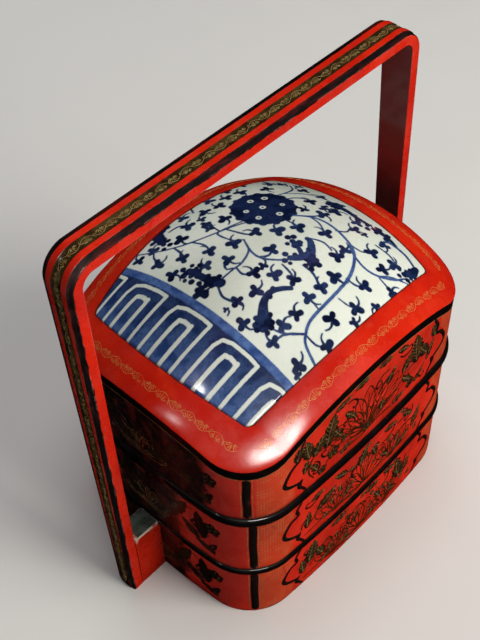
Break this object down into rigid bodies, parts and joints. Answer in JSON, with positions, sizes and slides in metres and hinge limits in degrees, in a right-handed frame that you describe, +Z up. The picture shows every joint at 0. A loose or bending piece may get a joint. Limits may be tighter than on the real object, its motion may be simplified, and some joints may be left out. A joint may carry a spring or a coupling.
{
  "type": "stacked food carrier",
  "caption": "Stacking lacquered food box with a fixed hoop handle, a loose middle tray and a deep domed lid set with a curved blue and white porcelain panel.",
  "frame": {"origin": "centre of the footprint, on the surface the box stands on", "axes": "+X along the long side and the plane of the handle, +Y across the width, +Z up"},
  "size_m": [0.235, 0.1546, 0.254],
  "materials": {
    "red_lacquer": "wood under glossy vermilion lacquer",
    "black_lacquer": "wood under glossy black lacquer",
    "inside_lacquer": "wood under satin maroon lacquer",
    "bamboo": "bare bamboo",
    "putty": "dull filled lacquer putty",
    "glaze": "clear glaze over blue painting on a white body"
  },
  "bodies": {
    "base": {"base_wall": "red_lacquer", "base_floor": "inside_lacquer", "base_bead": "black_lacquer", "base_lip": "black_lacquer", "foot_block_left": "red_lacquer", "foot_block_right": "red_lacquer", "foot_dowels": "bamboo", "upright_left": "red_lacquer", "upright_right": "red_lacquer", "handle_rail": "red_lacquer"},
    "middle_tray": {"middle_wall": "red_lacquer", "middle_floor": "inside_lacquer", "middle_bead": "black_lacquer", "middle_lip": "black_lacquer"},
    "lid": {"lid_wall": "red_lacquer", "lid_frame": "red_lacquer", "shard_bed": "putty", "porcelain_shard": "glaze", "lid_backing": "inside_lacquer"}
  },
  "joints": [
    {"name": "middle_lift", "type": "slide", "parent": "base", "child": "middle_tray", "axis": [0, 0, 1], "range_m": [0, 0.03]},
    {"name": "lid_lift", "type": "slide", "parent": "middle_tray", "child": "lid", "axis": [0, 0, 1], "range_m": [0, 0.03]}
  ]
}
